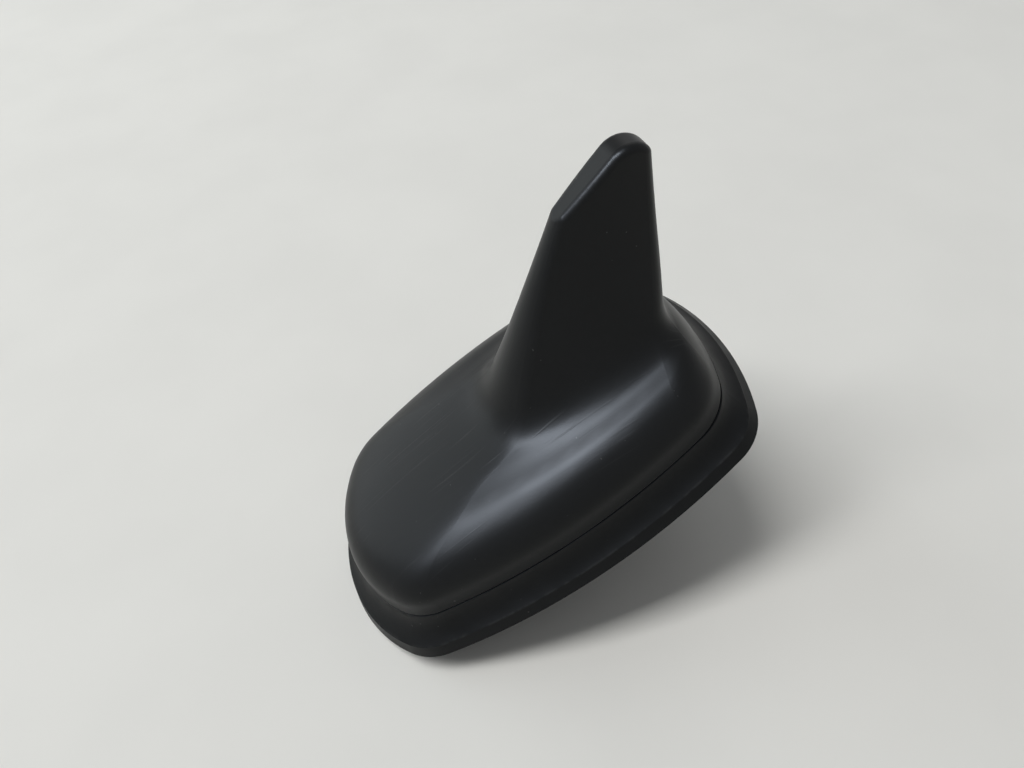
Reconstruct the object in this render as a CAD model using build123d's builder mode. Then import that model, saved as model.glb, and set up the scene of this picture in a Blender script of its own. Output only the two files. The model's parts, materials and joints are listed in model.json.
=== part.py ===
"""Roof antenna with a fin: moulded hood, rubber roof seal, cast plate with a hollow stud, boards inside.

Millimetres. Nose towards -Y, tail towards +Y, up is +Z.
The origin is on the stud's axis, in the roof plane where the seal rests.
"""
import math
import os

from build123d import *

os.makedirs("parts", exist_ok=True)

# Seal and hood, seen from outside
seal_length = 113.2
seal_width = 71.6
seal_setback = -0.6
seal_height = 9.6
lip_height = 2.8
lip_inset = 1.4
hood_length = 100.3
hood_width = 61.2
hood_setback = 1.05
crest_height = 27.4
shoulder_radius = 16.0
wall_angle = 86.0
ridge_angle = 18.0
hollow_radius = 13.0
hollow_angle = 66.0
foot_gap = 0.15
foot_radius = 0.35
contour_count = 26

# Fin; the places along it are measured from the hood's tail
fin_height = 67.6
fin_top_thickness = 6.6
fin_edge_radius = 1.6
fin_tip_radius = 5.6
fin_overhang = 11.2
tip_rise = 2.6
trail_lean = 0.306
elbow_ahead = 13.6
elbow_drop = 6.2
root_ahead = 50.1
toe_ahead = 69.3
trim_gap = 0.28

# Walls and clearances
hood_wall = 2.4
fin_wall = 2.0
hollow_root = 10.0
rim_inset = 2.0
rim_wall = 2.2
fit_gap = 0.3
thread_gap = 0.15

# Posts in the hood, and the screws that go up into them
post_radius = 3.0
post_inset = 9.2
side_post_inset = 6.4
nose_post = 21.0
side_post = 6.0
tail_post = 15.1
screw_radius = 1.1
screw_length = 7.5
head_radius = 2.4
head_height = 1.5
head_recess = 1.8
pilot_spare = 0.7

# Plate, gasket groove and stud
web_thickness = 1.8
plate_thickness = 3.0
groove_inset = 0.5
groove_width = 1.2
groove_depth = 1.0
gasket_play = 0.1
neck_side = 15.0
neck_depth = 2.6
stud_radius = 7.0
stud_end = 22.0
stud_chamfer = 0.9
spigot_radius = 6.0
collar_lip = 1.2
collar_height = 1.0
bore_radius = 4.5
pad_radius = 3.0
pad_height = 2.0

# Main board and its screws
board_gap = 1.4
board_nose_gap = 11.6
board_tail_gap = 14.7
board_thickness = 1.2
board_corner = 4.0
board_edge = 3.2
board_screw = 1.05
board_screw_grip = 3.6
board_head_radius = 2.2
board_head_height = 1.4
slot_width = 13.0
slot_length = 10.0

# Patch aerial
patch_side = 18.4
patch_height = 4.0
patch_gap = 1.5
pad_thickness = 0.8
pad_margin = 0.5
plate_margin = 2.0
plating = 0.2
pin_offset = 1.8
pin_radius = 0.5
pin_head_radius = 1.4
pin_head_height = 0.3

# Amplifier
can_width = 18.0
can_length = 16.0
can_height = 3.6
can_sheet = 0.3
can_gap = 3.5
can_hole = 0.8
can_hole_pitch = 5.0
chip_side = 5.0
chip_height = 1.2
chip_ahead = 3.0
small_chip_length = 3.0
small_chip_width = 2.0
small_chip_pitch = 5.5
small_chip_behind = 4.0
sleeve_radius = 1.7
sleeve_wall = 0.5
sleeve_length = 6.0
sleeve_gap = 1.8

# Fin board
fin_board_thickness = 1.0
fin_board_gap = 1.2
leg_length = 7.0
leg_edge = 1.0
leg_rise = 10.1
tongue_length = 3.0
copper = 0.15
track_width = 1.8
track_start = 1.0
low_turn = 33.8
mid_turn = 23.0
top_turn = 14.9
clip_height = 4.0
clip_foot = 3.4
clip_sheet = 0.3
clip_width = 2.4
clip_lip = 0.6
cushion_width = 5.0
cushion_height = 8.0
cushion_thickness = 0.6
cushion_pitch = 7.4
cushion_drop = 27.0

hood_front = hood_setback - hood_length / 2
hood_rear = hood_setback + hood_length / 2
foot_z = seal_height + foot_gap
root_y = hood_rear - root_ahead
elbow = (hood_rear - elbow_ahead, fin_height - elbow_drop)
tip = (hood_rear + fin_overhang, fin_height + tip_rise)
plate_bottom = web_thickness
plate_top = plate_bottom + plate_thickness
board_bottom = plate_top + pad_height
board_top = board_bottom + board_thickness
board_width = hood_width - 2 * (post_inset + post_radius + board_gap)
board_front = hood_front + board_nose_gap
board_rear = hood_rear - board_tail_gap
pilot_depth = screw_length - (plate_thickness - head_recess) + pilot_spare


def oval(front, rear, half, nose_radius, tail_radius, nose_share=0.836):
    """Level plan: bowed nose, sides and tail with rounded corners; nose_share narrows the nose."""
    corner = 0.836 * half
    nose_corner = nose_share * half
    nose_y = front + 0.39 * half
    tail_y = rear - 0.21 * half
    mid_y = (nose_y + tail_y) / 2
    with BuildSketch(mode=Mode.PRIVATE) as plan:
        with BuildLine():
            ThreePointArc((-nose_corner, nose_y), (0, front), (nose_corner, nose_y))
            ThreePointArc((nose_corner, nose_y), (half, mid_y), (corner, tail_y))
            ThreePointArc((corner, tail_y), (0, rear), (-corner, tail_y))
            ThreePointArc((-corner, tail_y), (-half, mid_y), (-nose_corner, nose_y))
        make_face()
        fillet(plan.vertices().sort_by(Axis.Y)[:2], nose_radius)
        fillet(plan.vertices().sort_by(Axis.Y)[-2:], tail_radius)
    return plan.sketch


def hood_plan(inset):
    """Plan of the hood's foot, drawn in by an inset."""
    half = hood_width / 2 - inset
    return oval(hood_front + inset, hood_rear - inset, half, 16.0 - inset, 15.0 - inset)


def seal_plan(inset, share):
    """Plan of the seal, between its own foot (share 0) and the hood's foot (share 1)."""
    front = seal_setback - seal_length / 2 + inset
    rear = seal_setback + seal_length / 2 - inset
    half = seal_width / 2 - inset
    front += share * (hood_front - front)
    rear += share * (hood_rear - rear)
    half += share * (hood_width / 2 - half)
    return oval(front, rear, half, 17.0 - share - inset, 13.0 + 2.0 * share - inset)


def trail(z):
    """Where the fin's trailing edge is at a height."""
    return tip[0] - trail_lean * (tip[1] - z)


def prow():
    """Middle line from the nose over the top and up the fin's leading edge, as (y, z)."""
    with BuildLine(mode=Mode.PRIVATE) as line:
        Spline(
            (hood_front, foot_z),
            (hood_front + 1.1, foot_z + 4.1),
            (hood_front + 4.1, crest_height - 9.4),
            (hood_front + 11.1, crest_height - 6.4),
            (hood_front + 25.1, crest_height - 3.8),
            (hood_front + 40.1, crest_height - 2.0),
            (root_y - 0.3, crest_height + 0.2),
            (root_y + 6.9, crest_height + 5.6),
            ((root_y + 6.9 + elbow[0]) / 2, (crest_height + 5.6 + elbow[1]) / 2),
            elbow,
            (elbow[0] + 11.4, elbow[1] + 10.8),
        )
    return line.edges()[0]


def stern():
    """Middle line from the tail's foot up the fin's trailing edge, as (y, z)."""
    with BuildLine(mode=Mode.PRIVATE) as line:
        Spline(
            (hood_rear, foot_z),
            (hood_rear - 0.7, foot_z + 6.1),
            (hood_rear - 2.1, crest_height - 5.4),
            (hood_rear - 3.2, crest_height - 1.4),
            (hood_rear - 2.9, crest_height + 2.1),
            (trail(crest_height + 6.6) - 1.4, crest_height + 6.6),
            (trail(elbow[1] - 11.4) - 0.5, elbow[1] - 11.4),
            (trail(elbow[1] + 12.0), elbow[1] + 12.0),
        )
    return line.edges()[0]


def across(line, z):
    """Where a rising middle line passes a height."""
    start, end = 0.0, 1.0
    for halving in range(40):
        middle = (start + end) / 2
        if (line @ middle).Y < z:
            start = middle
        else:
            end = middle
    return (line @ start).X


# Cross-section beside the fin: round shoulder up to a ridge, a hollow, then a long arc up the flank
wall = math.radians(wall_angle)
ridge = math.radians(ridge_angle)
bend = math.radians(hollow_angle)
shoulder_x = hood_width / 2 - shoulder_radius * math.sin(wall)
shoulder_z = foot_z - shoulder_radius * math.cos(wall)
ridge_x = shoulder_x + shoulder_radius * math.sin(ridge)
ridge_z = shoulder_z + shoulder_radius * math.cos(ridge)
hollow_x = ridge_x + hollow_radius * math.sin(ridge)
hollow_z = ridge_z + hollow_radius * math.cos(ridge)
bend_x = hollow_x - hollow_radius * math.sin(bend)
bend_z = hollow_z - hollow_radius * math.cos(bend)
taper = bend_x - fin_top_thickness / 2
rise = fin_height - bend_z
flank_radius = (taper**2 + rise**2) / (2 * (math.cos(bend) * rise - math.sin(bend) * taper))
flank_x = bend_x + flank_radius * math.sin(bend)
flank_z = bend_z + flank_radius * math.cos(bend)


def half_width(z):
    """Half the width of the hood or the fin at a height."""
    if z < ridge_z:
        return shoulder_x + math.sqrt(shoulder_radius**2 - (z - shoulder_z) ** 2)
    if z < bend_z:
        return hollow_x - math.sqrt(hollow_radius**2 - (hollow_z - z) ** 2)
    return flank_x - math.sqrt(flank_radius**2 - (flank_z - z) ** 2)


def fin_side(inset):
    """Hollow of the fin from the side: low toe, leading edge, top facet, round tip, trailing edge."""
    low = foot_z + 3.0
    heel = trail(low) - 2.6
    toe = (hood_rear - toe_ahead, crest_height - 5.6)
    root = (root_y, crest_height - 0.5)
    with BuildSketch(mode=Mode.PRIVATE) as side:
        with BuildLine():
            Polyline((toe[0], low), toe, root, elbow, tip, (heel, low), close=True)
        make_face()
        fillet(side.vertices().sort_by(Axis.X)[-1], fin_tip_radius)
        offset(amount=-inset, kind=Kind.INTERSECTION)
    return side.sketch


def dome(inset):
    """Hollow of the hood's rounded body, without the fin."""
    pivot = 40.0
    below = 18.0
    above = 30.0
    wall_lean = 1 / math.tan(wall)
    shoulder = min(shoulder_radius, 0.525 * hood_width / 2)
    barrel = Plane(origin=(0, 0, -pivot), x_dir=(0, 1, 0), z_dir=(-1, 0, 0))
    crest = pivot + crest_height - inset
    with BuildPart() as body:
        with BuildSketch(Plane.XY.offset(foot_z - below)):
            add(hood_plan(inset - below * wall_lean))
        with BuildSketch(Plane.XY.offset(foot_z + above)):
            add(hood_plan(inset + above * wall_lean))
        loft(ruled=True)
        with BuildSketch(barrel):
            with BuildLine():
                top = Spline(
                    (1.4 * hood_front, crest - 23.5),
                    (0.9 * hood_front, crest - 9.6),
                    (0.32 * hood_front, crest - 3.2),
                    (0.32 * hood_rear, crest - 0.6),
                    (1.5 * hood_rear, crest + 0.6),
                )
                Polyline(top @ 1, (1.5 * hood_rear, 1), (1.4 * hood_front, 1), top @ 0)
            make_face()
        revolve(axis=Axis((0, 0, -pivot), (0, 1, 0)), mode=Mode.INTERSECT)
        fillet(body.faces().sort_by(Axis.Z)[-1].edges(), shoulder - inset)
        split(bisect_by=Plane.XY.offset(foot_z + inset), keep=Keep.TOP)
    return body.part


def blade(inset):
    """Hollow of the fin, thinner towards the top."""
    base = hollow_root / 2
    high = fin_top_thickness / 2 - inset
    top = fin_height + 4.0
    with BuildPart() as body:
        with BuildSketch(Plane.YZ):
            add(fin_side(inset))
        extrude(amount=hollow_root, both=True)
        with BuildSketch(Plane.XZ):
            with BuildLine():
                Polyline((-base, foot_z), (base, foot_z), (high, top), (-high, top), close=True)
            make_face()
        extrude(amount=hood_length, both=True, mode=Mode.INTERSECT)
    return body.part


# Where the hood's screw posts stand
post_spots = [
    (side * (hood_width / 2 - inset), along)
    for side in (-1, 1)
    for inset, along in (
        (post_inset, hood_front + nose_post),
        (side_post_inset, side_post),
        (post_inset, hood_rear - tail_post),
    )
]

dome_hollow = dome(hood_wall)
fin_hollow = blade(fin_wall)

with BuildPart() as cavity:
    add(dome_hollow)
    add(fin_hollow)
    with BuildSketch(Plane.XY.offset(plate_top)):
        add(hood_plan(rim_inset + rim_wall))
    extrude(amount=foot_z + 2 * hood_wall - plate_top)
    with BuildSketch(Plane.XY.offset(plate_top)):
        with Locations(*post_spots):
            Circle(post_radius)
    extrude(amount=crest_height, mode=Mode.SUBTRACT)

prow_line = prow()
stern_line = stern()
facet_slope = (tip[1] - elbow[1]) / (tip[0] - elbow[0])
corner = (tip[0] + trim_gap, tip[1] + trim_gap * facet_slope)
trim_low = (crest_height + elbow[1]) / 2

# Hood and fin are one skin through level contours; the fin's top is then cut to its facet and round tip
with BuildPart() as hood:
    for step in range(contour_count):
        front = prow_line @ (step / (contour_count - 1))
        level = front.Y
        half = half_width(level)
        rear = across(stern_line, level)
        nose_share = 0.68 + 0.156 * half / (hood_width / 2)
        with BuildSketch(Plane.XY.offset(level)):
            add(oval(front.X, rear, half, 0.51 * half + 0.4, 0.458 * half + 1.0, nose_share))
    loft()
    with BuildSketch(Plane.YZ) as trim:
        with BuildLine():
            Polyline(
                (2 * hood_front, 0),
                (2 * hood_front, trim_low),
                (root_y, elbow[1] - facet_slope * (elbow[0] - root_y)),
                corner,
                (corner[0] - trail_lean * (corner[1] - trim_low), trim_low),
                (2 * hood_rear, trim_low),
                (2 * hood_rear, 0),
                close=True,
            )
        make_face()
        fillet(trim.vertices().sort_by(Axis.Y)[-1], fin_tip_radius)
    extrude(amount=hood_width, both=True, mode=Mode.INTERSECT)
    caps = hood.faces().filter_by(lambda face: face.center().Z > elbow[1])
    rims = ShapeList(edge for cap in caps for edge in cap.edges())
    fillet(rims.filter_by(Axis.X, reverse=True), fin_edge_radius)
    fillet(hood.faces().sort_by(Axis.Z)[0].edges(), foot_radius)
    with BuildSketch(Plane.XY.offset(plate_top)):
        add(hood_plan(rim_inset))
    extrude(amount=foot_z - plate_top)
    add(cavity.part, mode=Mode.SUBTRACT)
    with BuildSketch(Plane.XY.offset(plate_top)):
        with Locations(*post_spots):
            Circle(screw_radius + thread_gap)
    extrude(amount=pilot_depth, mode=Mode.SUBTRACT)
hood.part.label = "hood"
export_step(hood.part, "parts/hood.step")

with BuildPart() as roof_seal:
    with BuildSketch():
        add(seal_plan(0, 0))
    with BuildSketch(Plane.XY.offset(lip_height)):
        add(seal_plan(lip_inset, 0))
    loft(ruled=True)
    skirt_height = seal_height - lip_height
    for rise, share in ((0, 0), (0.22, 0.42), (0.55, 0.8), (1, 1)):
        with BuildSketch(Plane.XY.offset(lip_height + rise * skirt_height)):
            add(seal_plan(lip_inset, share))
    loft()
    with BuildSketch(Plane.XY.offset(web_thickness)):
        add(hood_plan(rim_inset - fit_gap))
    extrude(amount=seal_height, mode=Mode.SUBTRACT)
    with BuildSketch():
        RectangleRounded(neck_side + 2 * fit_gap, neck_side + 2 * fit_gap, 1.5)
    extrude(amount=seal_height, mode=Mode.SUBTRACT)
    with BuildSketch():
        add(hood_plan(rim_inset + 1.5))
        RectangleRounded(neck_side + 8.0, neck_side + 8.0, 4.0, mode=Mode.SUBTRACT)
    extrude(amount=0.6, mode=Mode.SUBTRACT)
roof_seal.part.label = "roof_seal"
export_step(roof_seal.part, "parts/roof_seal.step")

# Board screws stand at the corners of the main board
board_spots = [
    (side * (board_width / 2 - board_edge), end)
    for side in (-1, 1)
    for end in (board_front + board_edge, board_rear - board_edge)
]
groove_outer = rim_inset + groove_inset
groove_inner = groove_outer + groove_width

with BuildPart() as base_plate:
    with BuildSketch(Plane.XY.offset(plate_bottom)):
        add(hood_plan(rim_inset))
    extrude(amount=plate_thickness)
    with BuildSketch(Plane.XY.offset(plate_top)):
        add(hood_plan(groove_outer))
        add(hood_plan(groove_inner), mode=Mode.SUBTRACT)
    extrude(amount=-groove_depth, mode=Mode.SUBTRACT)
    with BuildSketch(Plane.XY.offset(plate_top)):
        with Locations(*board_spots):
            Circle(pad_radius)
    extrude(amount=pad_height)
    with BuildSketch(Plane.XY.offset(plate_bottom)):
        RectangleRounded(neck_side, neck_side, 1.2)
    extrude(amount=-(plate_bottom + neck_depth))
    with BuildSketch(Plane.XY.offset(plate_top)):
        Circle(spigot_radius + thread_gap)
    extrude(amount=-(plate_top + neck_depth), mode=Mode.SUBTRACT)
    with BuildSketch(Plane.XY.offset(plate_bottom)):
        with Locations(*post_spots):
            Circle(screw_radius + fit_gap)
    extrude(amount=plate_thickness, mode=Mode.SUBTRACT)
    with BuildSketch(Plane.XY.offset(plate_bottom)):
        with Locations(*post_spots):
            Circle(head_radius + fit_gap)
    extrude(amount=head_recess, mode=Mode.SUBTRACT)
    with BuildSketch(Plane.XY.offset(board_bottom)):
        with Locations(*board_spots):
            Circle(board_screw + thread_gap)
    extrude(amount=-(board_screw_grip + 2 * fit_gap), mode=Mode.SUBTRACT)
base_plate.part.label = "base_plate"
export_step(base_plate.part, "parts/base_plate.step")

# The stud's spigot goes up through the plate and is spread over it as a collar
with BuildPart() as mount_stud:
    with BuildSketch(Plane.XY.offset(-neck_depth)):
        Circle(stud_radius)
    extrude(amount=neck_depth - stud_end)
    chamfer(mount_stud.faces().sort_by(Axis.Z)[0].edges(), stud_chamfer)
    with BuildSketch(Plane.XY.offset(-neck_depth)):
        Circle(spigot_radius)
    extrude(amount=neck_depth + plate_top)
    with BuildSketch(Plane.XY.offset(plate_top)):
        Circle(spigot_radius + collar_lip)
    extrude(amount=collar_height)
    with BuildSketch(Plane.XY.offset(plate_top + collar_height)):
        Circle(bore_radius)
    extrude(amount=-(plate_top + collar_height + stud_end), mode=Mode.SUBTRACT)
mount_stud.part.label = "mount_stud"
export_step(mount_stud.part, "parts/mount_stud.step")

with BuildPart() as hood_gasket:
    with BuildSketch(Plane.XY.offset(plate_top - groove_depth)):
        add(hood_plan(groove_outer + gasket_play))
        add(hood_plan(groove_inner - gasket_play), mode=Mode.SUBTRACT)
    extrude(amount=groove_depth)
hood_gasket.part.label = "hood_gasket"
export_step(hood_gasket.part, "parts/hood_gasket.step")

with BuildPart() as hood_screws:
    head_seat = plate_bottom + head_recess
    with BuildSketch(Plane.XY.offset(head_seat)):
        with Locations(*post_spots):
            Circle(head_radius)
    extrude(amount=-head_height)
    with BuildSketch(Plane.XY.offset(head_seat)):
        with Locations(*post_spots):
            Circle(screw_radius)
    extrude(amount=screw_length)
    with BuildSketch(Plane.XY.offset(head_seat - head_height)):
        with Locations(*post_spots):
            RegularPolygon(0.42 * head_radius, 6)
    extrude(amount=0.6 * head_height, mode=Mode.SUBTRACT)
hood_screws.part.label = "hood_screws"
export_step(hood_screws.part, "parts/hood_screws.step")

# Things on the main board, from nose to tail
slot_y = 0.0
patch_y = slot_y - slot_length / 2 - patch_gap - patch_side / 2
pin_spot = (pin_offset, patch_y - pin_offset)
leg_y = board_rear - leg_edge - leg_length / 2
can_y = leg_y - leg_length / 2 - can_gap - can_length / 2

with BuildPart() as main_board:
    with BuildSketch(Plane.XY.offset(board_bottom)):
        with Locations((0, (board_front + board_rear) / 2)):
            RectangleRounded(board_width, board_rear - board_front, board_corner)
        with Locations((0, slot_y)):
            RectangleRounded(slot_width, slot_length, 2.0, mode=Mode.SUBTRACT)
        with Locations(*board_spots):
            Circle(board_screw + fit_gap, mode=Mode.SUBTRACT)
        with Locations((0, leg_y)):
            Rectangle(fin_board_thickness + 2 * fit_gap, tongue_length + 2 * fit_gap, mode=Mode.SUBTRACT)
        with Locations(pin_spot):
            Circle(pin_radius + fit_gap, mode=Mode.SUBTRACT)
    extrude(amount=board_thickness)
main_board.part.label = "main_board"
export_step(main_board.part, "parts/main_board.step")

with BuildPart() as board_screws:
    with BuildSketch(Plane.XY.offset(board_top)):
        with Locations(*board_spots):
            Circle(board_head_radius)
    extrude(amount=board_head_height)
    with BuildSketch(Plane.XY.offset(board_top)):
        with Locations(*board_spots):
            Circle(board_screw)
    extrude(amount=-(board_thickness + board_screw_grip))
    with BuildSketch(Plane.XY.offset(board_top + board_head_height)):
        with Locations(*board_spots):
            RegularPolygon(0.42 * board_head_radius, 6)
    extrude(amount=-0.6 * board_head_height, mode=Mode.SUBTRACT)
board_screws.part.label = "board_screws"
export_step(board_screws.part, "parts/board_screws.step")

patch_bottom = board_top + pad_thickness
patch_top = patch_bottom + patch_height
plating_top = patch_top + plating

with BuildPart() as patch_pad:
    with BuildSketch(Plane.XY.offset(board_top)):
        with Locations((0, patch_y)):
            Rectangle(patch_side - 2 * pad_margin, patch_side - 2 * pad_margin)
        with Locations(pin_spot):
            Circle(pin_radius + 2 * fit_gap, mode=Mode.SUBTRACT)
    extrude(amount=pad_thickness)
patch_pad.part.label = "patch_pad"
export_step(patch_pad.part, "parts/patch_pad.step")

with BuildPart() as patch_block:
    with BuildSketch(Plane.XY.offset(patch_bottom)):
        with Locations((0, patch_y)):
            RectangleRounded(patch_side, patch_side, 0.6)
        with Locations(pin_spot):
            Circle(pin_radius + fit_gap, mode=Mode.SUBTRACT)
    extrude(amount=patch_height)
patch_block.part.label = "patch_block"
export_step(patch_block.part, "parts/patch_block.step")

with BuildPart() as patch_plate:
    with BuildSketch(Plane.XY.offset(patch_top)) as plated:
        with Locations((0, patch_y)):
            Rectangle(patch_side - 2 * plate_margin, patch_side - 2 * plate_margin)
        chamfer(plated.vertices().group_by(SortBy.DISTANCE)[0], 1.6)
        with Locations(pin_spot):
            Circle(pin_radius + fit_gap, mode=Mode.SUBTRACT)
    extrude(amount=plating)
patch_plate.part.label = "patch_plate"
export_step(patch_plate.part, "parts/patch_plate.step")

with BuildPart() as patch_pin:
    with BuildSketch(Plane.XY.offset(plating_top)):
        with Locations(pin_spot):
            Circle(pin_head_radius)
    extrude(amount=pin_head_height)
    with BuildSketch(Plane.XY.offset(plating_top)):
        with Locations(pin_spot):
            Circle(pin_radius)
    extrude(amount=-(plating_top - board_bottom + 2 * fit_gap))
patch_pin.part.label = "patch_pin"
export_step(patch_pin.part, "parts/patch_pin.step")

with BuildPart() as amplifier_can:
    with BuildSketch(Plane.XY.offset(board_top)):
        with Locations((0, can_y)):
            RectangleRounded(can_width, can_length, 1.0)
    extrude(amount=can_height)
    fillet(amplifier_can.faces().sort_by(Axis.Z)[-1].edges(), 0.5)
    with BuildSketch(Plane.XY.offset(board_top)):
        with Locations((0, can_y)):
            RectangleRounded(can_width - 2 * can_sheet, can_length - 2 * can_sheet, 0.7)
    extrude(amount=can_height - can_sheet, mode=Mode.SUBTRACT)
    with BuildSketch(Plane.XY.offset(board_top)):
        with Locations((0, can_y)):
            with GridLocations(can_hole_pitch, can_hole_pitch, 3, 2):
                Circle(can_hole)
    extrude(amount=can_height, mode=Mode.SUBTRACT)
amplifier_can.part.label = "amplifier_can"
export_step(amplifier_can.part, "parts/amplifier_can.step")

with BuildPart() as amplifier_chips:
    with BuildSketch(Plane.XY.offset(board_top)):
        with Locations((0, can_y - chip_ahead)):
            Rectangle(chip_side, chip_side)
        with Locations((0, can_y + small_chip_behind)):
            with GridLocations(small_chip_pitch, 0, 3, 1):
                Rectangle(small_chip_length, small_chip_width)
    extrude(amount=chip_height)
amplifier_chips.part.label = "amplifier_chips"
export_step(amplifier_chips.part, "parts/amplifier_chips.step")

with BuildPart() as lead_sleeves:
    sleeve_x = slot_width / 2 + sleeve_gap + sleeve_radius
    with BuildSketch(Plane.XZ.offset(-(slot_y + sleeve_length / 2))):
        with Locations((-sleeve_x, board_top + sleeve_radius), (sleeve_x, board_top + sleeve_radius)):
            Circle(sleeve_radius)
            Circle(sleeve_radius - sleeve_wall, mode=Mode.SUBTRACT)
    extrude(amount=sleeve_length)
lead_sleeves.part.label = "lead_sleeves"
export_step(lead_sleeves.part, "parts/lead_sleeves.step")

fin_board_low = board_top + leg_rise

with BuildPart() as fin_board:
    with BuildSketch(Plane.YZ):
        add(fin_side(fin_wall + fin_board_gap))
    extrude(amount=fin_board_thickness / 2, both=True)
    split(bisect_by=Plane.XY.offset(fin_board_low), keep=Keep.TOP)
    with BuildSketch(Plane.XY.offset(board_top)):
        with Locations((0, leg_y)):
            Rectangle(fin_board_thickness, leg_length)
    extrude(amount=leg_rise)
    with BuildSketch(Plane.XY.offset(board_top)):
        with Locations((0, leg_y)):
            Rectangle(fin_board_thickness, tongue_length)
    extrude(amount=-board_thickness)
fin_board.part.label = "fin_board"
export_step(fin_board.part, "parts/fin_board.step")

with BuildPart() as fin_tracks:
    with BuildSketch(Plane.YZ.offset(fin_board_thickness / 2)):
        with BuildLine():
            Polyline(
                (leg_y, board_top + track_start),
                (leg_y, fin_height - low_turn),
                (leg_y + 8.0, fin_height - low_turn),
                (leg_y + 12.0, fin_height - mid_turn),
                (leg_y + 3.0, fin_height - mid_turn),
                (leg_y + 7.0, fin_height - top_turn),
                (leg_y + 16.0, fin_height - top_turn),
            )
        trace(line_width=track_width)
    extrude(amount=copper)
fin_tracks.part.label = "fin_tracks"
export_step(fin_tracks.part, "parts/fin_tracks.step")

# The clip's upright presses on the track, its foot is soldered to the main board
clip_face = fin_board_thickness / 2 + copper
with BuildPart() as contact_clip:
    with BuildSketch(Plane.XZ.offset(-(leg_y + clip_width / 2))):
        with BuildLine():
            Polyline(
                (clip_face, board_top + clip_height),
                (clip_face, board_top),
                (clip_face + clip_foot, board_top),
                (clip_face + clip_foot, board_top + clip_sheet),
                (clip_face + clip_sheet, board_top + clip_sheet),
                (clip_face + clip_sheet, board_top + clip_height - clip_sheet),
                (clip_face + clip_sheet + clip_lip, board_top + clip_height + clip_sheet),
                (clip_face + clip_lip, board_top + clip_height + 2 * clip_sheet),
                close=True,
            )
        make_face()
    extrude(amount=clip_width)
contact_clip.part.label = "contact_clip"
export_step(contact_clip.part, "parts/contact_clip.step")

with BuildPart() as fin_cushions:
    cushion_y = hood_rear - elbow_ahead + cushion_pitch / 2
    with BuildSketch(Plane.YZ.offset(-fin_board_thickness / 2)):
        with Locations((cushion_y, fin_height - cushion_drop)):
            with GridLocations(cushion_pitch, 0, 2, 1):
                RectangleRounded(cushion_width, cushion_height, 1.0)
    extrude(amount=-cushion_thickness)
fin_cushions.part.label = "fin_cushions"
export_step(fin_cushions.part, "parts/fin_cushions.step")
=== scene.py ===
"""A black roof antenna with a fin, on a pale table.

The seal's nose touches the table and the stud below holds the tail up.
"""
import json
import math

import bpy
from mathutils import Matrix, Vector


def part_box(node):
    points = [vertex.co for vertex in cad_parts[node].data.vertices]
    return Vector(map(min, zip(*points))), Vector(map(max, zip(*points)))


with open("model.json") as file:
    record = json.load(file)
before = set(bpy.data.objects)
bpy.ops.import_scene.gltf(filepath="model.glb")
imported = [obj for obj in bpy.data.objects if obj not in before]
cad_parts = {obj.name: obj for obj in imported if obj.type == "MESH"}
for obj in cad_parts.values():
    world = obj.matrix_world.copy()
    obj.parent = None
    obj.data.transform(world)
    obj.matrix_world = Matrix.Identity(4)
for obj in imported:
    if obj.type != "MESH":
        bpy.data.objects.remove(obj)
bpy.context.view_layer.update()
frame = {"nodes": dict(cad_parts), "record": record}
scene = bpy.context.scene
scene.view_settings.view_transform = "Standard"

MM = 0.001

# ---- Sizes and finishes -------------------------------------------------------------------------

# Noise: the values it mostly lies between, and how much fine detail it has
NOISE_RANGE = (0.3, 0.7)
SKIN_DETAIL = 3.0

# Marks and grain on both black surfaces
MARK_COLOR = (0.20, 0.20, 0.20)
SPECK_SPACING = 0.9 * MM
SPECK_CUT = (0.86, 0.91)            # noise values where a speck begins and is whole
SPECK_TONE = 0.2                    # share of the mark colour in a speck
GRAIN_SIZE = 0.45 * MM
GRAIN_DETAIL = 2.0

# Hood: moulded black plastic
HOOD_COLOR = (0.0020, 0.0027, 0.0033)
HOOD_SPECULAR = 0.21
HOOD_ROUGHNESS = (0.34, 0.39)
HOOD_PATCH = 22.0 * MM              # size of its smoother and rougher patches
HOOD_BUMP = 0.022 * MM              # depth of a scratch
HOOD_GRAIN = 0.25                   # depth of the grain, as a share of a scratch's

# Scratches: fine lines along the hood, in patches, on its top alone
SCRATCH_WIDTH = 0.55 * MM
SCRATCH_STRETCH = (1.0, 0.018, 0.06)
SCRATCH_DETAIL = 1.0
SCRATCH_CUT = (0.60, 0.72)
SCRATCH_PATCH = 14.0 * MM
SCRATCH_PATCH_STRETCH = (1.0, 0.5, 1.0)
SCRATCH_PATCH_DETAIL = 2.0
SCRATCH_PATCH_CUT = (0.38, 0.62)
SCRATCH_START = (17.0 * MM, 21.5 * MM)    # heights over which they begin, above the wall
SCRATCH_END = (25.0 * MM, 31.0 * MM)      # heights over which they end, up the fin
SCRATCH_TONE = 0.08                 # share of the mark colour in a scratch
SCRATCH_ROUGHNESS = 0.08            # added along a scratch

# Seal: black rubber, its lip pale in patches: partly rubbed, partly a painted highlight along the
# edge
SEAL_COLOR = (0.0024, 0.0030, 0.0036)
SEAL_SPECULAR = 0.16
SEAL_ROUGHNESS = (0.38, 0.46)
SEAL_PATCH = 6.0 * MM
SEAL_BUMP = 0.010 * MM
LIP_HEIGHT = 2.8 * MM
LIP_REACH = 0.4 * MM                # how far the rubbed patches and painted highlight reach up and down from the lip
LIP_PATCH = 3.0 * MM
LIP_CUT = (0.40, 0.62)
# share of the mark colour along the lip: partly rubbing, partly a painted highlight
LIP_WEAR_AND_HIGHLIGHT_TONE = 0.06

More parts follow.
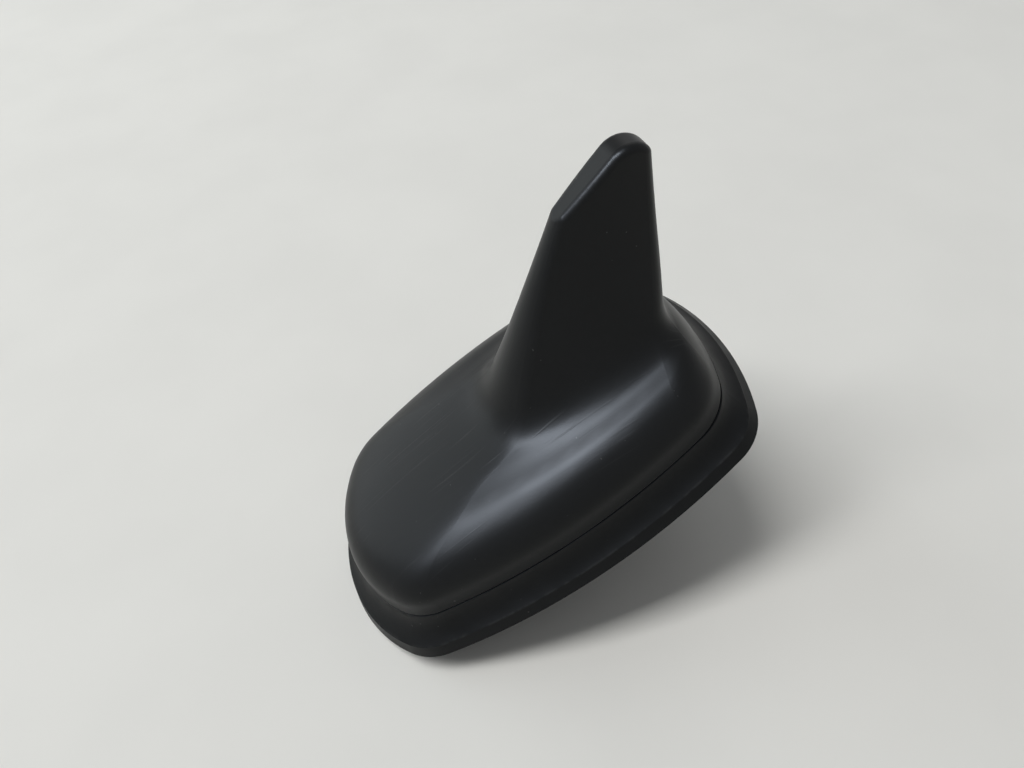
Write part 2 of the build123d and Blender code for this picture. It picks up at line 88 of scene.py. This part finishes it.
# Stud: plated steel with a screw thread
STUD_COLOR = (0.58, 0.57, 0.54)
THREAD_PITCH = 1.5 * MM
THREAD_DEPTH = 0.5 * MM
THREAD_ROUGHNESS = (0.45, 0.30)     # at the root and on the flanks
THREAD_ROOT = 0.5                   # share of the height up to which the root is duller

# Boards: green lacquer over copper runs
BOARD_COLOR = (0.012, 0.12, 0.045)
BOARD_ROUGHNESS = 0.32
RUN_COLOR = (0.03, 0.20, 0.08)
RUN_SPACING = 8.0 * MM
RUN_SHARE = 0.05                    # width of a run, as a share of the spacing
RUN_HEIGHT = 0.03 * MM
RUN_OFFSET = 0.5

# Bare metals: colour, roughness, grain size, depth of the grain, stretch of the grain in length
METALS = {
    "cast_metal": ((0.50, 0.50, 0.51), 0.45, 0.8 * MM, 0.02 * MM, 1.0),
    "screw_steel": ((0.60, 0.59, 0.55), 0.30, 0.4 * MM, 0.005 * MM, 1.0),
    "silver_plate": ((0.78, 0.77, 0.74), 0.35, 0.5 * MM, 0.006 * MM, 1.0),
    "pin_metal": ((0.70, 0.57, 0.32), 0.28, 0.4 * MM, 0.004 * MM, 1.0),
    "can_tin": ((0.66, 0.66, 0.65), 0.30, 0.5 * MM, 0.006 * MM, 0.1),
    "copper": ((0.72, 0.38, 0.22), 0.32, 0.4 * MM, 0.005 * MM, 1.0),
}
METAL_DETAIL = 4.0
METAL_SMOOTHER = 0.07
METAL_ROUGHER = 0.10

# Foam, adhesive, fired clay and resin: colour, roughness, grain size, depth of the grain
PLAIN_STUFFS = {
    "gasket_grey": ((0.05, 0.05, 0.052), 0.8, 0.5 * MM, 0.05 * MM),
    "pad_white": ((0.70, 0.70, 0.67), 0.7, 0.6 * MM, 0.02 * MM),
    "block_cream": ((0.62, 0.54, 0.42), 0.6, 0.5 * MM, 0.01 * MM),
    "chip_black": ((0.018, 0.018, 0.02), 0.45, 0.3 * MM, 0.006 * MM),
}
PLAIN_SPECULAR = 0.4
PLAIN_SHADE = 0.82                  # the grain's darker tone, as a share of the colour

# Table: a plane from the seal's nose to the stud's lower rim
STUD_RIM_INSET = 1.1 * MM
TABLE_SIZE = 5.0
TABLE_COLOR = (0.80, 0.805, 0.785)
TABLE_ROUGHNESS = 0.7
TABLE_MOTTLE = 60.0 * MM
TABLE_SHADE = 0.97

# Lamps: name, direction from the antenna, direction of the long side,
# width and length in metres, watts, colour, what they show on
LAMP_DISTANCE = 2.6
LAMPS = [
    ("overhead_softbox", (-0.14, -0.03, 0.99), (0.0, 1.0, 0.0),
     (0.75, 2.40), 46.0, (1.0, 0.985, 0.96), "matt"),
    ("ridge_strip", (0.25, -0.15, 0.95), (0.47, 0.57, 0.0),
     (0.40, 2.10), 122.0, (0.80, 0.88, 1.0), "gloss"),
    ("back_window", (-0.55, 0.65, 0.50), (0.0, 0.0, 1.0),
     (1.60, 1.60), 4.0, (1.0, 0.98, 0.95), "both"),
    ("left_window", (-0.66, -0.47, 0.60), (0.0, 0.0, 1.0),
     (2.30, 2.30), 23.0, (0.89, 0.97, 1.0), "both"),
]

# Room: its strength as light, and as it is seen
ROOM_COLOR = (1.0, 1.0, 1.0)
ROOM_LIGHT = 0.20
ROOM_SEEN = 0.60

# Camera, in the antenna's own frame
CAMERA_PLACE = Vector((0.11386, 0.03003, 0.15803))
CAMERA_RIGHT = Vector((0.37326, 0.80864, -0.45473))
CAMERA_UP = Vector((-0.65337, 0.5771, 0.48996))
CAMERA_CLIP = 5.0 * MM
FOCAL_PIXELS = 770.0
IMAGE_WIDTH = 1024.0
SENSOR_WIDTH = 36.0


# ---- Node helpers -------------------------------------------------------------------------------

def put(tree, kind, **settings):
    """Adds a node; settings name its properties."""
    node = tree.nodes.new(kind)
    for key, value in settings.items():
        setattr(node, key, value)
    return node


def feed(tree, socket, value):
    """Gives an input a plain value, or links another node's output to it."""
    if isinstance(value, bpy.types.NodeSocket):
        tree.links.new(value, socket)
    else:
        socket.default_value = value


def math_node(tree, operation, *values):
    """A maths node on outputs or plain numbers; returns its output."""
    node = put(tree, "ShaderNodeMath", operation=operation)
    for socket, value in zip(node.inputs, values):
        feed(tree, socket, value)
    return node.outputs[0]


def span(tree, value, source, target=(0.0, 1.0)):
    """Maps a value from one range to another, clamped, with a soft start and end."""
    node = put(tree, "ShaderNodeMapRange", interpolation_type="SMOOTHSTEP")
    feed(tree, node.inputs["Value"], value)
    feed(tree, node.inputs["From Min"], source[0])
    feed(tree, node.inputs["From Max"], source[1])
    feed(tree, node.inputs["To Min"], target[0])
    feed(tree, node.inputs["To Max"], target[1])
    return node.outputs["Result"]


def own_place(tree):
    """The place on the object, in its own metres."""
    return put(tree, "ShaderNodeTexCoord").outputs["Object"]


def own_axes(tree):
    """That place's X, Y and Z, by name."""
    apart = put(tree, "ShaderNodeSeparateXYZ")
    feed(tree, apart.inputs["Vector"], own_place(tree))
    return apart.outputs


def noise(tree, scale, detail, stretch=(1.0, 1.0, 1.0)):
    """Noise over the object; an axis with a small stretch has it drawn out."""
    mapping = put(tree, "ShaderNodeMapping")
    feed(tree, mapping.inputs["Vector"], own_place(tree))
    feed(tree, mapping.inputs["Scale"], stretch)
    texture = put(tree, "ShaderNodeTexNoise")
    feed(tree, texture.inputs["Vector"], mapping.outputs["Vector"])
    feed(tree, texture.inputs["Scale"], scale)
    feed(tree, texture.inputs["Detail"], detail)
    return texture.outputs[0]


def new_group(name, inputs, output):
    """A shader node group with float inputs and one float output; also its two end nodes."""
    group = bpy.data.node_groups.new(name, "ShaderNodeTree")
    for label in inputs:
        group.interface.new_socket(label, in_out="INPUT", socket_type="NodeSocketFloat")
    group.interface.new_socket(output, in_out="OUTPUT", socket_type="NodeSocketFloat")
    return group, put(group, "NodeGroupInput"), put(group, "NodeGroupOutput")


def use_group(tree, group, **values):
    """Places a group in a material with its own values; returns its output."""
    node = put(tree, "ShaderNodeGroup", node_tree=group)
    for label, value in values.items():
        feed(tree, node.inputs[label], value)
    return node.outputs[0]


# ---- Shared surface effects ---------------------------------------------------------------------

def make_uneven_skin():
    """An uneven skin: a height."""
    group, given, out = new_group("uneven_skin", ["Scale", "Detail", "Lengthwise"], "Height")
    stretch = put(group, "ShaderNodeCombineXYZ")
    feed(group, stretch.inputs["X"], 1.0)
    feed(group, stretch.inputs["Y"], given.outputs["Lengthwise"])
    feed(group, stretch.inputs["Z"], 1.0)
    height = noise(group, given.outputs["Scale"], given.outputs["Detail"],
                   stretch.outputs["Vector"])
    feed(group, out.inputs["Height"], height)
    return group


def make_specks():
    """Sparse light specks: a share of the mark colour."""
    group, given, out = new_group("light_specks", ["Tone"], "Share")
    dots = span(group, noise(group, 1.0 / SPECK_SPACING, 0.0), SPECK_CUT)
    feed(group, out.inputs["Share"], math_node(group, "MULTIPLY", dots, given.outputs["Tone"]))
    return group


uneven_skin = make_uneven_skin()
specks = make_specks()


def skin(tree, size, detail=SKIN_DETAIL, lengthwise=1.0):
    """The height of an uneven skin whose grain or patches have this size."""
    return use_group(tree, uneven_skin, Scale=1.0 / size, Detail=detail, Lengthwise=lengthwise)


def scratches(tree):
    """Fine wiping scratches along the hood's top: 1 in a scratch, 0 beside it."""
    lines = noise(tree, 1.0 / SCRATCH_WIDTH, SCRATCH_DETAIL, SCRATCH_STRETCH)
    patches = noise(tree, 1.0 / SCRATCH_PATCH, SCRATCH_PATCH_DETAIL, SCRATCH_PATCH_STRETCH)
    height = own_axes(tree)["Z"]
    share = span(tree, lines, SCRATCH_CUT)
    for limit in (span(tree, patches, SCRATCH_PATCH_CUT),
                  span(tree, height, SCRATCH_START),
                  span(tree, height, SCRATCH_END, (1.0, 0.0))):
        share = math_node(tree, "MULTIPLY", share, limit)
    return share


# ---- Materials, one for each slot of the record -------------------------------------------------

def material(name, color, roughness, metallic=0.0, specular=0.5):
    """A Principled material; returns it, its tree and the Principled node."""
    made = bpy.data.materials.new(name)
    made.use_nodes = True
    tree = made.node_tree
    shader = tree.nodes["Principled BSDF"]
    shader.inputs["Base Color"].default_value = (*color, 1.0)
    shader.inputs["Roughness"].default_value = roughness
    shader.inputs["Metallic"].default_value = metallic
    shader.inputs["Specular IOR Level"].default_value = specular
    return made, tree, shader


def bump(tree, shader, height, depth):
    """Gives a shader a bump from a height of 0 to 1, so deep in metres."""
    node = put(tree, "ShaderNodeBump")
    feed(tree, node.inputs["Strength"], 1.0)
    feed(tree, node.inputs["Distance"], depth)
    feed(tree, node.inputs["Height"], height)
    feed(tree, shader.inputs["Normal"], node.outputs["Normal"])


def mix_color(tree, shader, share, plain, marked):
    """Base colour between two colours by a share."""
    node = put(tree, "ShaderNodeMix", data_type="RGBA")
    node.inputs["A"].default_value = (*plain, 1.0)
    node.inputs["B"].default_value = (*marked, 1.0)
    feed(tree, node.inputs["Factor"], share)
    feed(tree, shader.inputs["Base Color"], node.outputs["Result"])


def shaded(color, share):
    """A darker tone of a colour."""
    return tuple(share * channel for channel in color)


def hood_plastic():
    """Moulded black plastic, wiped and handled: a few fine lines and specks."""
    made, tree, shader = material("hood_black", HOOD_COLOR, HOOD_ROUGHNESS[1],
                                  specular=HOOD_SPECULAR)
    lines = scratches(tree)
    pale_lines = math_node(tree, "MULTIPLY", lines, SCRATCH_TONE)
    dots = use_group(tree, specks, Tone=SPECK_TONE)
    marks = math_node(tree, "MAXIMUM", pale_lines, dots)
    mix_color(tree, shader, marks, HOOD_COLOR, MARK_COLOR)
    patches = span(tree, skin(tree, HOOD_PATCH), NOISE_RANGE, HOOD_ROUGHNESS)
    dull_lines = math_node(tree, "MULTIPLY", lines, SCRATCH_ROUGHNESS)
    feed(tree, shader.inputs["Roughness"], math_node(tree, "ADD", patches, dull_lines))
    grain = math_node(tree, "MULTIPLY", skin(tree, GRAIN_SIZE, GRAIN_DETAIL), HOOD_GRAIN)
    bump(tree, shader, math_node(tree, "ADD", grain, lines), HOOD_BUMP)
    return made


def seal_rubber():
    """Black rubber, its lower lip pale in patches: partly rubbed, partly a painted highlight along
    the edge.
    """
    made, tree, shader = material("seal_black", SEAL_COLOR, SEAL_ROUGHNESS[1],
                                  specular=SEAL_SPECULAR)
    # The pale line round the lip is partly rubbing and partly a painted highlight on the bead's
    # edge.
    above_lip = math_node(tree, "SUBTRACT", own_axes(tree)["Z"], LIP_HEIGHT)
    lip = span(tree, math_node(tree, "ABSOLUTE", above_lip), (0.0, LIP_REACH), (1.0, 0.0))
    worn_and_lit = math_node(tree, "MULTIPLY", span(tree, skin(tree, LIP_PATCH), LIP_CUT), LIP_WEAR_AND_HIGHLIGHT_TONE)
    wear_and_highlight = math_node(tree, "MULTIPLY", lip, worn_and_lit)
    dots = use_group(tree, specks, Tone=SPECK_TONE)
    mix_color(tree, shader, math_node(tree, "MAXIMUM", wear_and_highlight, dots), SEAL_COLOR, MARK_COLOR)
    patches = span(tree, skin(tree, SEAL_PATCH), NOISE_RANGE, SEAL_ROUGHNESS)
    feed(tree, shader.inputs["Roughness"], patches)
    bump(tree, shader, skin(tree, GRAIN_SIZE, GRAIN_DETAIL), SEAL_BUMP)
    return made


def threaded_steel():
    """Plated steel whose screw thread winds round the stud's axis."""
    made, tree, shader = material("stud_metal", STUD_COLOR, THREAD_ROUGHNESS[1], metallic=1.0)
    axes = own_axes(tree)
    turn = math_node(tree, "ARCTAN2", axes["Y"], axes["X"])
    climb = math_node(tree, "MULTIPLY", axes["Z"], 2 * math.pi / THREAD_PITCH)
    wave = math_node(tree, "SINE", math_node(tree, "ADD", climb, turn))
    height = span(tree, wave, (-1.0, 1.0))
    dull_root = span(tree, height, (0.0, THREAD_ROOT), THREAD_ROUGHNESS)
    feed(tree, shader.inputs["Roughness"], dull_root)
    bump(tree, shader, height, THREAD_DEPTH)
    return made


def board_lacquer():
    """Green lacquer over copper runs, seen as slightly raised lighter lines."""
    made, tree, shader = material("board_green", BOARD_COLOR, BOARD_ROUGHNESS)
    runs = put(tree, "ShaderNodeTexBrick", offset=RUN_OFFSET)
    feed(tree, runs.inputs["Vector"], own_place(tree))
    feed(tree, runs.inputs["Scale"], 1.0 / RUN_SPACING)
    feed(tree, runs.inputs["Mortar Size"], RUN_SHARE)
    mix_color(tree, shader, runs.outputs["Fac"], BOARD_COLOR, RUN_COLOR)
    bump(tree, shader, runs.outputs["Fac"], RUN_HEIGHT)
    return made


def bare_metal(name, color, roughness, grain_size, depth, lengthwise):
    """Bare metal with an uneven skin."""
    made, tree, shader = material(name, color, roughness, metallic=1.0)
    height = skin(tree, grain_size, METAL_DETAIL, lengthwise)
    uneven = (roughness - METAL_SMOOTHER, roughness + METAL_ROUGHER)
    feed(tree, shader.inputs["Roughness"], span(tree, height, NOISE_RANGE, uneven))
    bump(tree, shader, height, depth)
    return made


def plain_stuff(name, color, roughness, grain_size, depth):
    """Foam, adhesive, fired clay or resin with a slightly uneven skin."""
    made, tree, shader = material(name, color, roughness, specular=PLAIN_SPECULAR)
    height = skin(tree, grain_size)
    mix_color(tree, shader, span(tree, height, NOISE_RANGE), color, shaded(color, PLAIN_SHADE))
    bump(tree, shader, height, depth)
    return made


looks = {
    "hood_black": hood_plastic(),
    "seal_black": seal_rubber(),
    "stud_metal": threaded_steel(),
    "board_green": board_lacquer(),
}
for slot, finish in METALS.items():
    looks[slot] = bare_metal(slot, *finish)
for slot, finish in PLAIN_STUFFS.items():
    looks[slot] = plain_stuff(slot, *finish)

for part in frame["record"]["subparts"]:
    mesh = frame["nodes"][part["node"]].data
    mesh.materials.clear()
    mesh.materials.append(looks[part["material_slot"]])


# ---- Table, light and camera --------------------------------------------------------------------

def table_look():
    """Pale and plain; from below it lets the view through, so the underside can be seen."""
    made, tree, shader = material("table_pale", TABLE_COLOR, TABLE_ROUGHNESS, specular=0.0)
    mottle = span(tree, skin(tree, TABLE_MOTTLE), NOISE_RANGE)
    mix_color(tree, shader, mottle, TABLE_COLOR, shaded(TABLE_COLOR, TABLE_SHADE))
    side = put(tree, "ShaderNodeNewGeometry")
    clear = put(tree, "ShaderNodeBsdfTransparent")
    blend = put(tree, "ShaderNodeMixShader")
    feed(tree, blend.inputs["Fac"], side.outputs["Backfacing"])
    feed(tree, blend.inputs[1], shader.outputs["BSDF"])
    feed(tree, blend.inputs[2], clear.outputs["BSDF"])
    feed(tree, tree.nodes["Material Output"].inputs["Surface"], blend.outputs["Shader"])
    return made


def placed(place, right, back):
    """A place and turn from the directions of an object's own X and Z."""
    turn = Matrix((right, back.cross(right), back)).transposed().to_4x4()
    return Matrix.Translation(place) @ turn


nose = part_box("roof_seal")[0]
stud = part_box("mount_stud")[0]
tilt = math.atan2(-stud.z, stud.y + STUD_RIM_INSET - nose.y)
bpy.ops.mesh.primitive_plane_add(size=TABLE_SIZE, location=(0.0, nose.y, 0.0),
                                 rotation=(-tilt, 0.0, 0.0))
table = bpy.context.object
table.name = "table"
table.data.materials.append(table_look())

for name, towards, along, size, watts, color, shows_on in LAMPS:
    lamp_data = bpy.data.lights.new(name, "AREA")
    lamp_data.shape = "RECTANGLE"
    lamp_data.size, lamp_data.size_y = size
    lamp_data.energy = watts
    lamp_data.color = color
    lamp = bpy.data.objects.new(name, lamp_data)
    direction = Vector(towards).normalized()
    across = Vector(along).cross(direction).normalized()
    lamp.matrix_world = placed(direction * LAMP_DISTANCE, across, direction)
    lamp.visible_diffuse = shows_on != "gloss"
    lamp.visible_glossy = shows_on != "matt"
    scene.collection.objects.link(lamp)

world = bpy.data.worlds.new("pale_room")
world.use_nodes = True
scene.world = world
room = world.node_tree
rays = put(room, "ShaderNodeLightPath")
seen = math_node(room, "MAXIMUM", rays.outputs["Is Camera Ray"], rays.outputs["Is Glossy Ray"])
seen = math_node(room, "MAXIMUM", seen, rays.outputs["Is Transmission Ray"])
level = put(room, "ShaderNodeMix", data_type="FLOAT")
feed(room, level.inputs["A"], ROOM_LIGHT)
feed(room, level.inputs["B"], ROOM_SEEN)
feed(room, level.inputs["Factor"], seen)
backdrop = room.nodes["Background"]
backdrop.inputs["Color"].default_value = (*ROOM_COLOR, 1.0)
feed(room, backdrop.inputs["Strength"], level.outputs["Result"])

camera_data = bpy.data.cameras.new("camera")
camera_data.sensor_fit = "HORIZONTAL"
camera_data.sensor_width = SENSOR_WIDTH
camera_data.lens = FOCAL_PIXELS * SENSOR_WIDTH / IMAGE_WIDTH
camera_data.clip_start = CAMERA_CLIP
camera = bpy.data.objects.new("camera", camera_data)
right = CAMERA_RIGHT.normalized()
camera.matrix_world = placed(CAMERA_PLACE, right, right.cross(CAMERA_UP).normalized())
scene.collection.objects.link(camera)
scene.camera = camera
